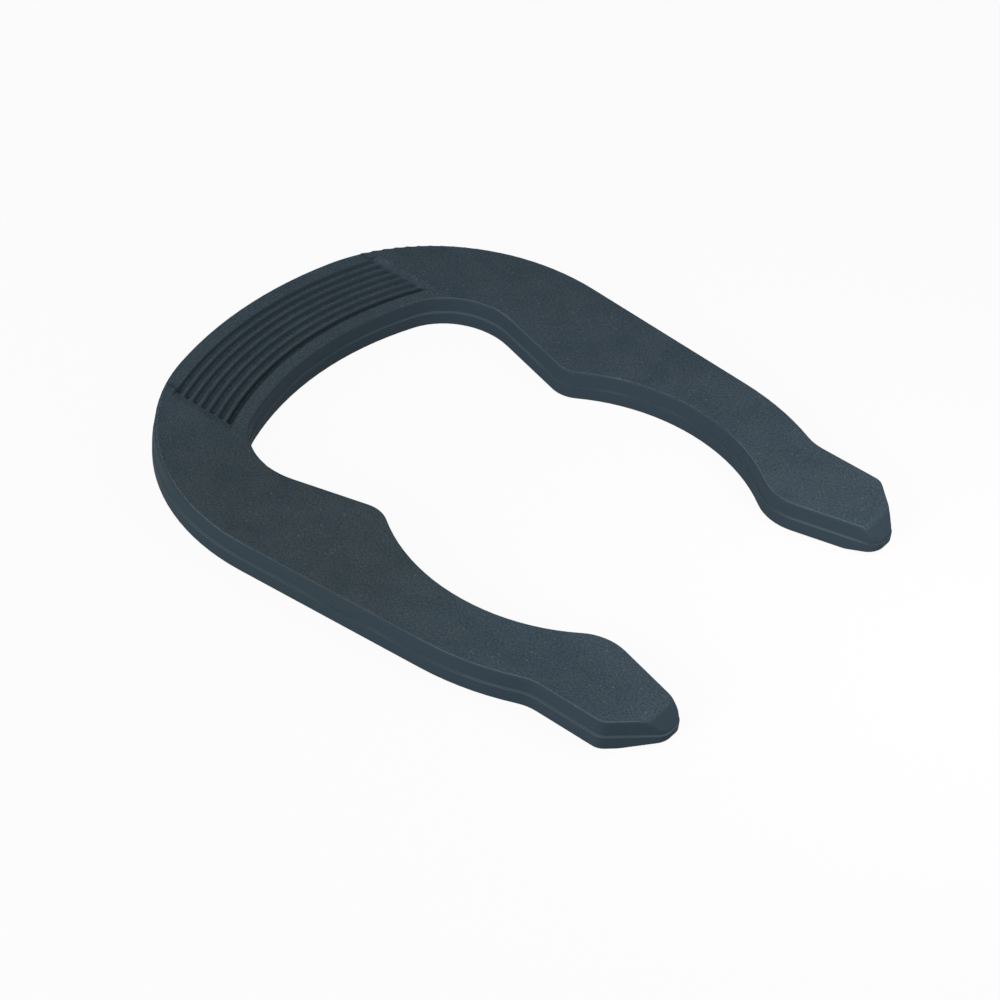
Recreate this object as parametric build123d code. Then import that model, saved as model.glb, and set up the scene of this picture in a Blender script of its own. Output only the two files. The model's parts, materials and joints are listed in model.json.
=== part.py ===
from build123d import *
from math import asin, cos, degrees, radians, sin, sqrt, tan
import os

# Moulded retaining clip, one solid. Millimetres, +Z up, underside on z = 0.
# The origin is the centre of the gripped neck and +X points to the open mouth.

# Grip on the neck, measured on the land at the parting plane
grip_radius = 10.0
front_crest_angle = 44.2
rear_crest_angle = 130.7
front_crest_radius = 2.7
rear_crest_radius = 1.6

# Arms
arm_width = 3.9
flank_angle = 4.2
shoulder_radius = 11.4

# Tips
lead_in_angle = 15.5
lead_in_length = 5.85
tip_step = 1.6
tip_root_radius = 2.5
slant_run = 2.28
slant_angle = 45.0
slant_corner_radius = 0.8
nose_outer_radius = 0.9
nose_inner_radius = 0.8
nose_bevel_run = 1.0
nose_bevel_drop = 0.9
nose_lift_run = 1.9
nose_lift = 0.45
nose_bevel_radius = 0.8
nose_bevel_gap = 0.1

# Bow
bow_centre_x = 2.76
pocket_depth = 7.15
bow_width = 5.38
pocket_flare_angle = 16.4
pocket_corner_radius = 3.8

# Section: drafted both ways from a vertical land under the parting plane
thickness = 1.75
parting_z = 0.85
land_height = 0.45
parting_ledge = 0.05
draft_angle = 2.5
top_edge_radius = 0.15
bottom_edge_radius = 0.1

# Ribbed thumb panel on top of the bow: a shallow sunk field with arc grooves cut into it
inner_land_width = 0.78
panel_drop = 0.12
panel_foot_y = 8.05
panel_ramp_run = 0.45
first_groove_width = 0.38
margin_width = 0.83
margin_end_y = 8.0
rib_count = 6
rib_top_width = 0.175
groove_depth = 0.14
groove_end_y = 8.1
groove_flank_angle = 38.0

# Sizes that follow from the ones above
crest_radius = grip_radius + parting_ledge
arm_outer_radius = crest_radius + arm_width
tip_side_y = arm_outer_radius - tip_step
bow_inner_radius = bow_centre_x + crest_radius + pocket_depth
bow_outer_radius = bow_inner_radius + bow_width
flank_slope = tan(radians(groove_flank_angle))
land_foot_radius = bow_inner_radius + inner_land_width + panel_drop * flank_slope
first_rib_radius = land_foot_radius + first_groove_width
margin_radius = bow_outer_radius - margin_width
rib_pitch = (margin_radius - first_rib_radius) / rib_count
overcut = 2 * thickness


def on_circle(radius, angle):
    return Vector(radius * cos(radians(angle)), radius * sin(radians(angle)))


def line_meets_bow(point, angle, bow_radius):
    """Where the line through point at angle crosses a bow circle on the -X side."""
    slope = tan(radians(angle))
    rise = point.Y - slope * point.X
    a = 1 + slope**2
    b = slope * rise - bow_centre_x
    c = bow_centre_x**2 + rise**2 - bow_radius**2
    x = (-b - sqrt(b * b - a * c)) / a
    return Vector(x, slope * x + rise)


def half_outline_corners():
    """Sharp corners of the +Y half at the parting plane, with the radius that rounds each."""
    flank_touch = on_circle(arm_outer_radius, 90 - flank_angle)
    front_crest = on_circle(crest_radius, front_crest_angle)
    rear_crest = on_circle(crest_radius, rear_crest_angle)
    nose_x = front_crest.X + lead_in_length
    slant_x = nose_x - slant_run
    return {
        "shoulder": (line_meets_bow(flank_touch, -flank_angle, bow_outer_radius), shoulder_radius),
        "flank_touch": (flank_touch, 0),
        "tip_root": (Vector(sqrt(arm_outer_radius**2 - tip_side_y**2), tip_side_y), tip_root_radius),
        "slant": (Vector(slant_x, tip_side_y), slant_corner_radius),
        "nose_outer": (Vector(nose_x, tip_side_y - slant_run * tan(radians(slant_angle))), nose_outer_radius),
        "nose_inner": (
            Vector(nose_x, front_crest.Y + lead_in_length * tan(radians(lead_in_angle))),
            nose_inner_radius,
        ),
        "front_crest": (front_crest, front_crest_radius),
        "rear_crest": (rear_crest, rear_crest_radius),
        "pocket": (line_meets_bow(rear_crest, -pocket_flare_angle, bow_inner_radius), pocket_corner_radius),
    }


def arc_about(centre_x, start, end):
    """Arc centred on the X axis from start to end, the short way."""
    centre = Vector(centre_x, 0)
    middle = (start - centre) + (end - centre)
    middle = centre + middle * ((start - centre).length / middle.length)
    return ThreePointArc(start, middle, end)


def half_outline(corner):
    bow_outer = Vector(bow_centre_x - bow_outer_radius, 0)
    bow_inner = Vector(bow_centre_x - bow_inner_radius, 0)
    edges = [
        arc_about(bow_centre_x, bow_outer, corner["shoulder"]),
        Line(corner["shoulder"], corner["flank_touch"]),
        arc_about(0, corner["flank_touch"], corner["tip_root"]),
        Line(corner["tip_root"], corner["slant"]),
        Line(corner["slant"], corner["nose_outer"]),
        Line(corner["nose_outer"], corner["nose_inner"]),
        Line(corner["nose_inner"], corner["front_crest"]),
        arc_about(0, corner["front_crest"], corner["rear_crest"]),
        Line(corner["rear_crest"], corner["pocket"]),
        arc_about(bow_centre_x, corner["pocket"], bow_inner),
        Line(bow_inner, bow_outer),
    ]
    return Face(Wire(edges))


def clip_outline():
    """Whole outline of the upper half at the parting plane."""
    corners = half_outline_corners()
    half = half_outline({name: point for name, (point, radius) in corners.items()})
    for point, radius in corners.values():
        if radius > 0:
            nearest = min(half.vertices(), key=lambda v: (Vector(v) - point).length)
            half = half.fillet_2d(radius, [nearest])
    rim = half.edges().filter_by(lambda e: abs(e.center().Y) > parting_ledge)
    outline = Face(Wire(rim + [e.mirror(Plane.XZ) for e in rim]))
    return outline if outline.normal_at().Z > 0 else -outline


def side_faces(body):
    return body.faces().filter_by(lambda f: abs(f.normal_at().Z) < 0.1)


def drafted_shell(outline):
    """Lower half with its vertical land, and the upper half a ledge smaller all round."""
    land_outline = Face(outline.outer_wire().offset_2d(parting_ledge))
    land_z = parting_z - land_height
    lower = extrude(land_outline, land_z, dir=(0, 0, 1))
    lower = draft(side_faces(lower), Plane.XY.offset(land_z), -draft_angle)
    land = extrude(land_outline.moved(Location((0, 0, land_z))), land_height, dir=(0, 0, 1))
    upper = extrude(outline.moved(Location((0, 0, parting_z))), thickness - parting_z, dir=(0, 0, 1))
    upper = draft(side_faces(upper), Plane.XY.offset(parting_z), draft_angle)
    return lower + land + upper


def prism(profile, plane, depth, both=False):
    """Extrude a closed profile of (u, v) points drawn on plane."""
    return extrude(plane * Face(Wire.make_polygon([Vector(*point) for point in profile])), depth, both=both)


def nose_bevels(body):
    """Slope the tips down on top, with a soft crest, and lift them a little below."""
    end_x = half_outline_corners()["nose_inner"][0].X + nose_bevel_gap
    for face_z, run, drop in ((thickness, nose_bevel_run, nose_bevel_drop), (0.0, nose_lift_run, -nose_lift)):
        wedge = [(end_x - 2 * run, face_z + drop), (end_x, face_z - drop), (end_x, face_z + drop)]
        body -= prism(wedge, Plane.XZ, 2 * tip_side_y, both=True)
    crests = body.edges().filter_by(Axis.Y).group_by(Axis.Z)[-1]
    return body.fillet(nose_bevel_radius, crests)


def face_rim(body, face_z):
    """Edges round the large flat face at face_z."""
    flats = body.faces().filter_by(Plane.XY)
    return min(flats, key=lambda f: (abs(f.center().Z - face_z), -f.area)).outer_wire().edges()


def sunk_field():
    """Field of the thumb panel, ramped up past the ends of the ribs and stepped up at the margin."""
    floor_z = thickness - panel_drop
    depth = 2 * panel_drop
    top_z = floor_z + depth
    length = bow_outer_radius - bow_centre_x + overcut
    foot = panel_foot_y
    ramp_top = panel_foot_y + 2 * panel_ramp_run
    end = margin_end_y
    ramped = prism([(-foot, floor_z), (foot, floor_z), (ramp_top, top_z), (-ramp_top, top_z)], Plane.YZ, -length)
    stepped = prism([(-end, floor_z), (end, floor_z), (end, top_z), (-end, top_z)], Plane.YZ, -length)
    centre = Pos(bow_centre_x, 0, floor_z)
    on_floor = (Align.CENTER, Align.CENTER, Align.MIN)
    land = centre * Cone(land_foot_radius, land_foot_radius - depth * flank_slope, depth, align=on_floor)
    inside_margin = centre * Cylinder(margin_radius, depth, align=on_floor)
    return (ramped & inside_margin) - land + (stepped - inside_margin)


def arc_groove(inner_radius, width):
    """Arc groove about the bow centre, rounded at its ends and narrower at its floor."""
    radius = inner_radius + width / 2
    half_angle = degrees(asin((groove_end_y - width / 2) / radius))
    spine = CenterArc((bow_centre_x, 0), radius, 180 - half_angle, 2 * half_angle)
    mouth = SlotArc(spine, width).face().moved(Location((0, 0, thickness - panel_drop)))
    return extrude(mouth, groove_depth, dir=(0, 0, -1), taper=groove_flank_angle)


def thumb_panel(body):
    body -= sunk_field()
    body -= arc_groove(land_foot_radius, first_groove_width)
    for index in range(rib_count):
        inner_radius = first_rib_radius + index * rib_pitch + rib_top_width
        body -= arc_groove(inner_radius, rib_pitch - rib_top_width)
    return body


def retaining_clip():
    body = nose_bevels(drafted_shell(clip_outline()))
    soft_crests_left_out = face_rim(body, thickness).filter_by(Axis.Y, reverse=True)
    body = body.fillet(top_edge_radius, soft_crests_left_out)
    body = body.fillet(bottom_edge_radius, face_rim(body, 0))
    return thumb_panel(body)


if __name__ == "__main__":
    os.makedirs("parts", exist_ok=True)
    export_step(retaining_clip(), "parts/retaining_clip.step")
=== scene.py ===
import json
import math

import bpy
from mathutils import Matrix, Vector

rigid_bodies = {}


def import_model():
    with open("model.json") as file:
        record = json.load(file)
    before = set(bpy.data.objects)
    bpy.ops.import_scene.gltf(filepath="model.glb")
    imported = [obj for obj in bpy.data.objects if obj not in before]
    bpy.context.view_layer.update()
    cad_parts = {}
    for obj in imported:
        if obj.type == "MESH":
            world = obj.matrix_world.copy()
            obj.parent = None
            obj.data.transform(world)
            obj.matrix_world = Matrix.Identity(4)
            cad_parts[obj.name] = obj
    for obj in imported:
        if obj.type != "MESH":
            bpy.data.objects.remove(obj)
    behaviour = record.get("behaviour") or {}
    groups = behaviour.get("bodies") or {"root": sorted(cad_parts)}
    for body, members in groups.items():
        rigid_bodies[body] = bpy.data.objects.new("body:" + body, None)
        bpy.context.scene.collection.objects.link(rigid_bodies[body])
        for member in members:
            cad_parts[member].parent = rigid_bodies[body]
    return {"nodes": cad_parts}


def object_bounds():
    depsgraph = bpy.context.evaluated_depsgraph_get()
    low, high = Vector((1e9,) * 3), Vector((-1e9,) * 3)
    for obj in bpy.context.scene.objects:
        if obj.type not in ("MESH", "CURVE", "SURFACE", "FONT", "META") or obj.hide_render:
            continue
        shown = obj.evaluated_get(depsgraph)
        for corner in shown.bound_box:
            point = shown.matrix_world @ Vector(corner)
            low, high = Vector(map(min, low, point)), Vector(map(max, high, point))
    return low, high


# Moulded retaining clip lying flat on a pale floor, ribbed thumb panel up, under soft studio light.
# Metres throughout, in the part's own frame.

MM = 0.001

# Camera: seen from the near arm's side, above, with a small roll
camera_azimuth = 33.30
camera_elevation = 40.89
camera_roll = 7.17
camera_distance = 172.62 * MM
camera_lens = 120.40
camera_film_width = 36.0
camera_sees_from = 10.0 * MM
camera_sees_to = 20.0
camera_aim = Vector((-3.490, -1.785, 0.490)) * MM

# Plastic: dark slate with a cool cast
slate = (0.039, 0.0565, 0.072)
slate_dark = (0.032, 0.049, 0.063)
slate_warm = (0.043, 0.0575, 0.068)
# Walls get a darker, bluer colour: painted shade on the same plastic
wall_painted_shade = (0.0255, 0.0395, 0.0520)
# Light colour for the parting line and top rim: a painted highlight
edge_painted_highlight = (0.075, 0.103, 0.120)
fleck = (0.100, 0.125, 0.136)
pit = (0.012, 0.018, 0.022)
mottle_size = 2.6 * MM
warm_size = 1.1 * MM
warm_share = 0.5
grain_size = 0.11 * MM
grain_tone = (0.7, 1.3)
fine_grain_size = 0.05 * MM
fine_grain_share = 0.4
fleck_spacing = 0.32 * MM
fleck_cluster_size = 4 * grain_size
fleck_share = 0.6
pit_share = 0.7
face_grain_depth = 0.006 * MM
wall_grain_depth = 0.0025 * MM
face_roughness = 0.68
wall_roughness = 0.75
roughness_swing = 0.25
specular_level = 0.06

# Noise levels at which each pattern starts and is full; its middle is the plain surface
noise_middle = 0.5
mottle_levels = (0.35, 0.65)
warm_levels = (0.4, 0.7)
grain_levels = (0.3, 0.7)
fleck_levels = (0.48, 0.62)
pit_levels = (0.46, 0.34)
# Where the painted edge highlight breaks into lengths
highlight_break_levels = (0.38, 0.62)

# Rim and core of a fleck or pit, in spacings from its middle
speck_rim = 0.24
speck_core = 0.08

# How far the normal points up, from 0 on a wall to 1 on a flat face, and sideways from the arms
wall_to_flat = (0.66, 0.90)
rim_upright = (0.76, 0.82, 0.92, 0.96)
rim_sideways = (0.15, 0.30)

# Grooves of the thumb panel, about the bow's axis: darkened by painted shade on top of their modelled
# depth, the first one most
in_plan = (1.0, 1.0, 0.0)
bow_axis = Vector((2.76, 0.0, 0.0)) * MM
groove_radii = (20.70 * MM, 20.85 * MM, 24.85 * MM, 24.95 * MM)
groove_heights = (1.40 * MM, 1.44 * MM, 1.54 * MM, 1.62 * MM)
first_groove_end = 21.20 * MM
first_groove_fade = 0.03 * MM
groove_half_length = 8.15 * MM
groove_end_fade = 0.2 * MM
groove_painted_shade = 0.84
first_groove_painted_shade = 0.55

# Painted highlight on the parting line all round and on the top rim along the arms, in broken lengths
parting_height = 0.85 * MM
parting_half_width = 0.09 * MM
parting_core = 0.02 * MM
highlight_break_size = 5.0 * MM
highlight_strength = (0.12, 0.57)

# Painted shade round the shoulder of the near arm, slightly darker and warmer
shoulder_painted_shade = (0.94, 0.92, 0.86)
shoulder_shade_place = Vector((-9.0, -12.0, 0.9)) * MM
shoulder_shade_full = 4.0 * MM
shoulder_shade_end = 13.5 * MM
shoulder_shade_on_walls = 0.45

# Studio
floor_size = 4.0
floor_gap = 0.01 * MM
floor_colour = (0.62, 0.62, 0.61)
floor_glow = 0.94
white = (1.0, 1.0, 1.0)
sky_colour = (0.95, 0.98, 1.0)
sky_strength = 0.33
key_place = Vector((-24.0, -196.0, 88.0)) * MM
key_size = 110.0 * MM
key_power = 0.45
tip_light_place = Vector((30.0, 7.0, 25.0)) * MM
tip_light_size = 30.0 * MM
tip_light_power = 0.0094


def clear_scene():
    for thing in list(bpy.data.objects):
        bpy.data.objects.remove(thing, do_unlink=True)


class NodeTree:
    """Short calls to add and wire shader nodes in one tree."""

    def __init__(self, tree):
        self.tree = tree
        self.tree.nodes.clear()

    def add(self, kind, settings=None, **inputs):
        node = self.tree.nodes.new(kind)
        for name, value in (settings or {}).items():
            setattr(node, name, value)
        for name, value in inputs.items():
            self.feed(node.inputs[name.replace("_", " ")], value)
        return node

    def feed(self, socket, value):
        if isinstance(value, bpy.types.NodeSocket):
            self.tree.links.new(value, socket)
        else:
            socket.default_value = value

    def math(self, operation, *values, clamp=False):
        node = self.add("ShaderNodeMath", {"operation": operation, "use_clamp": clamp})
        for socket, value in zip(node.inputs, values):
            self.feed(socket, value)
        return node.outputs[0]

    def mix(self, data_type, factor, first, second, blend="MIX"):
        node = self.add("ShaderNodeMix", {"data_type": data_type, "blend_type": blend})
        sockets = [s for s in node.inputs if s.enabled]
        for socket, value in zip(sockets, (factor, first, second)):
            self.feed(socket, value)
        return next(s for s in node.outputs if s.enabled)

    def noise(self, place, size, detail=2.0, roughness=0.5):
        return self.add(
            "ShaderNodeTexNoise", Vector=place, Scale=1.0 / size, Detail=detail, Roughness=roughness
        ).outputs["Fac"]

    def between(self, value, edges):
        """1 between the two inner edges, fading to 0 at the outer two."""
        low, low_full, high_full, high = edges
        return self.product(self.spread(value, low, low_full), self.spread(value, high, high_full))

    def distance(self, place, point):
        node = self.add("ShaderNodeVectorMath", {"operation": "DISTANCE"})
        self.feed(node.inputs[0], place)
        self.feed(node.inputs[1], point)
        return node.outputs["Value"]

    def scaled(self, colour, factor):
        node = self.add("ShaderNodeVectorMath", {"operation": "SCALE"})
        self.feed(node.inputs[0], colour)
        self.feed(node.inputs["Scale"], factor)
        return node.outputs[0]

    def product(self, first, *others):
        for other in others:
            first = self.math("MULTIPLY", first, other)
        return first

    def ranged(self, value, ends):
        """Take a 0 to 1 value to the range between two ends."""
        low, high = ends
        return self.math("ADD", self.math("MULTIPLY", value, high - low), low)

    def spread(self, value, low, high):
        """Smooth step from 0 at low to 1 at high; low may be the larger of the two."""
        smooth = {"interpolation_type": "SMOOTHSTEP"}
        step = self.add("ShaderNodeMapRange", smooth, Value=value, From_Min=low, From_Max=high)
        return step.outputs["Result"]


def opaque(colour):
    return (*colour, 1.0)


def grained_colour(shade, place, flatness, grain):
    """Mottled slate with grain, light flecks and dark pits on the flat faces, plain and in painted shade on
    the walls.
    """
    mottle = shade.spread(shade.noise(place, mottle_size, detail=3.0), *mottle_levels)
    warm = shade.spread(shade.noise(place, warm_size, detail=2.0), *warm_levels)
    colour = shade.mix("RGBA", mottle, opaque(slate_dark), opaque(slate))
    colour = shade.mix("RGBA", shade.product(warm, warm_share), colour, opaque(slate_warm))
    # Painted shade: the walls take the darker wall colour
    colour = shade.mix("RGBA", flatness, opaque(wall_painted_shade), colour)
    tone = shade.ranged(shade.spread(grain, *grain_levels), grain_tone)
    colour = shade.scaled(colour, shade.mix("FLOAT", flatness, 1.0, tone))

    cells = shade.add("ShaderNodeTexVoronoi", {"feature": "F1"}, Vector=place, Scale=1.0 / fleck_spacing)
    speck = shade.product(shade.spread(cells.outputs["Distance"], speck_rim, speck_core), flatness)
    chance = shade.noise(place, fleck_cluster_size)
    for paint, share, levels in ((fleck, fleck_share, fleck_levels), (pit, pit_share, pit_levels)):
        mask = shade.product(speck, shade.spread(chance, *levels), share)
        colour = shade.mix("RGBA", mask, colour, opaque(paint))
    return colour


def paint_groove_shade(shade, colour, place, along):
    """Paint shade into the grooves of the thumb panel, found by their distance from the bow's axis in plan.
    """
    flat_place = shade.add("ShaderNodeVectorMath", {"operation": "MULTIPLY"})
    shade.feed(flat_place.inputs[0], place)
    shade.feed(flat_place.inputs[1], in_plan)
    radius = shade.distance(flat_place.outputs[0], bow_axis)
    off_middle = shade.math("ABSOLUTE", along["Y"])
    groove = shade.product(
        shade.between(radius, groove_radii),
        shade.between(along["Z"], groove_heights),
        shade.spread(off_middle, groove_half_length + groove_end_fade, groove_half_length),
    )
    first = shade.spread(radius, first_groove_end + first_groove_fade, first_groove_end - first_groove_fade)
    tone = shade.mix("FLOAT", first, groove_painted_shade, first_groove_painted_shade)
    return shade.scaled(colour, shade.mix("FLOAT", groove, 1.0, tone))


def paint_edge_highlights(shade, colour, place, along, facing, upright):
    """Paint a highlight on the parting line, and on the top rim where it runs along the arms."""
    sideways = shade.math("ABSOLUTE", facing["Y"])
    rim = shade.product(shade.between(upright, rim_upright), shade.spread(sideways, *rim_sideways))
    off_parting = shade.math("ABSOLUTE", shade.math("SUBTRACT", along["Z"], parting_height))
    parting = shade.spread(off_parting, parting_half_width, parting_core)
    highlight_breaks = shade.spread(shade.noise(place, highlight_break_size, detail=1.0), *highlight_break_levels)
    highlight = shade.product(shade.math("MAXIMUM", rim, parting), shade.ranged(highlight_breaks, highlight_strength))
    return shade.mix("RGBA", highlight, colour, opaque(edge_painted_highlight))


def paint_shoulder_shade(shade, colour, place, flatness):
    """Paint shade round the near shoulder, slightly darker and warmer, less so on its walls."""
    off_shoulder = shade.distance(place, shoulder_shade_place)
    shoulder_shade = shade.spread(off_shoulder, shoulder_shade_end, shoulder_shade_full)
    shoulder_shade = shade.product(shoulder_shade, shade.mix("FLOAT", flatness, shoulder_shade_on_walls, 1.0))
    return shade.mix("RGBA", shoulder_shade, colour, opaque(shoulder_painted_shade), blend="MULTIPLY")


def moulded_slate():
    """Matte moulded plastic: spark-eroded grain on the flat faces, smoother drafted walls."""
    material = bpy.data.materials.new("moulded_slate_plastic")
    material.use_nodes = True
    shade = NodeTree(material.node_tree)
    place = shade.add("ShaderNodeTexCoord").outputs["Object"]
    along = shade.add("ShaderNodeSeparateXYZ", Vector=place).outputs
    normal = shade.add("ShaderNodeNewGeometry").outputs["Normal"]
    facing = shade.add("ShaderNodeSeparateXYZ", Vector=normal).outputs
    upright = shade.math("ABSOLUTE", facing["Z"])
    flatness = shade.spread(upright, *wall_to_flat)
    grain = shade.noise(place, grain_size, detail=3.0, roughness=0.6)
    fine_grain = shade.noise(place, fine_grain_size, detail=1.0)

    colour = grained_colour(shade, place, flatness, grain)
    # Painted shade in the grooves
    colour = paint_groove_shade(shade, colour, place, along)
    # Painted highlight on the parting line and top rim
    colour = paint_edge_highlights(shade, colour, place, along, facing, upright)
    # Painted shade round the near shoulder
    colour = paint_shoulder_shade(shade, colour, place, flatness)

    roughness = shade.mix("FLOAT", flatness, wall_roughness, face_roughness)
    swing = shade.product(shade.math("SUBTRACT", grain, noise_middle), roughness_swing)
    roughness = shade.math("ADD", roughness, swing)

    height = shade.math("ADD", grain, shade.product(fine_grain, fine_grain_share))
    depth = shade.mix("FLOAT", flatness, wall_grain_depth / face_grain_depth, 1.0)
    bump = shade.add(
        "ShaderNodeBump", Strength=1.0, Distance=face_grain_depth, Height=shade.product(height, depth)
    )
    surface = shade.add(
        "ShaderNodeBsdfPrincipled", Base_Color=colour, Roughness=roughness, Normal=bump.outputs["Normal"]
    )
    surface.inputs["Specular IOR Level"].default_value = specular_level
    shade.add("ShaderNodeOutputMaterial", Surface=surface.outputs[0])
    return material


def seen_directly(shade):
    """1 on camera, mirror and see-through rays, 0 on the rays that light the object."""
    rays = shade.add("ShaderNodeLightPath").outputs
    seen = shade.math("ADD", rays["Is Camera Ray"], rays["Is Glossy Ray"])
    return shade.math("ADD", seen, rays["Is Transmission Ray"], clamp=True)


def floor_paint():
    material = bpy.data.materials.new("pale_floor_paint")
    material.use_nodes = True
    shade = NodeTree(material.node_tree)
    paint = shade.add("ShaderNodeBsdfDiffuse", Color=opaque(floor_colour))
    glow = shade.add("ShaderNodeEmission", Color=opaque(white), Strength=1.0)
    share = shade.math("MULTIPLY", seen_directly(shade), floor_glow)
    mixed = shade.add("ShaderNodeMixShader", Fac=share)
    shade.feed(mixed.inputs[1], paint.outputs[0])
    shade.feed(mixed.inputs[2], glow.outputs[0])
    shade.add("ShaderNodeOutputMaterial", Surface=mixed.outputs[0])
    return material


def add_floor(level):
    half = floor_size / 2
    corners = [(-half, -half, level), (half, -half, level), (half, half, level), (-half, half, level)]
    mesh = bpy.data.meshes.new("floor")
    mesh.from_pydata(corners, [], [(0, 1, 2, 3)])
    mesh.materials.append(floor_paint())
    floor = bpy.data.objects.new("floor", mesh)
    bpy.context.scene.collection.objects.link(floor)


def add_sky():
    world = bpy.data.worlds.new("studio_sky")
    bpy.context.scene.world = world
    world.use_nodes = True
    shade = NodeTree(world.node_tree)
    room = shade.add("ShaderNodeBackground", Color=opaque(sky_colour), Strength=sky_strength)
    backdrop = shade.add("ShaderNodeBackground", Color=opaque(white), Strength=1.0)
    mixed = shade.add("ShaderNodeMixShader", Fac=seen_directly(shade))
    shade.feed(mixed.inputs[1], room.outputs[0])
    shade.feed(mixed.inputs[2], backdrop.outputs[0])
    shade.add("ShaderNodeOutputWorld", Surface=mixed.outputs[0])


def add_softbox(name, place, size, power, target):
    light = bpy.data.lights.new(name, "AREA")
    light.shape = "DISK"
    light.size = size
    light.energy = power
    lamp = bpy.data.objects.new(name, light)
    lamp.location = place
    lamp.rotation_euler = (target - place).to_track_quat("-Z", "Y").to_euler()
    bpy.context.scene.collection.objects.link(lamp)


def add_camera():
    azimuth = math.radians(camera_azimuth)
    elevation = math.radians(camera_elevation)
    roll = math.radians(camera_roll)
    level = math.cos(elevation)
    back = Vector((math.sin(azimuth) * level, -math.cos(azimuth) * level, math.sin(elevation)))
    right = Vector((math.cos(azimuth), math.sin(azimuth), 0.0))
    up = back.cross(right)
    right, up = right * math.cos(roll) + up * math.sin(roll), up * math.cos(roll) - right * math.sin(roll)
    lens = bpy.data.cameras.new("camera")
    lens.sensor_width = camera_film_width
    lens.lens = camera_lens
    lens.clip_start = camera_sees_from
    lens.clip_end = camera_sees_to
    camera = bpy.data.objects.new("camera", lens)
    turn = Matrix((right, up, back)).transposed().to_4x4()
    camera.matrix_world = Matrix.Translation(camera_aim + back * camera_distance) @ turn
    bpy.context.scene.collection.objects.link(camera)
    bpy.context.scene.camera = camera


clear_scene()
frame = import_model()
cad_low, cad_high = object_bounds()

clip = frame["nodes"]["retaining_clip"]
clip.material_slots[0].material = moulded_slate()

centre = (cad_low + cad_high) / 2
add_floor(cad_low.z - floor_gap)
add_sky()
add_softbox("key_softbox", centre + key_place, key_size, key_power, centre)
add_softbox("tip_softbox", centre + tip_light_place, tip_light_size, tip_light_power, centre)
add_camera()

bpy.context.scene.view_settings.view_transform = "Standard"
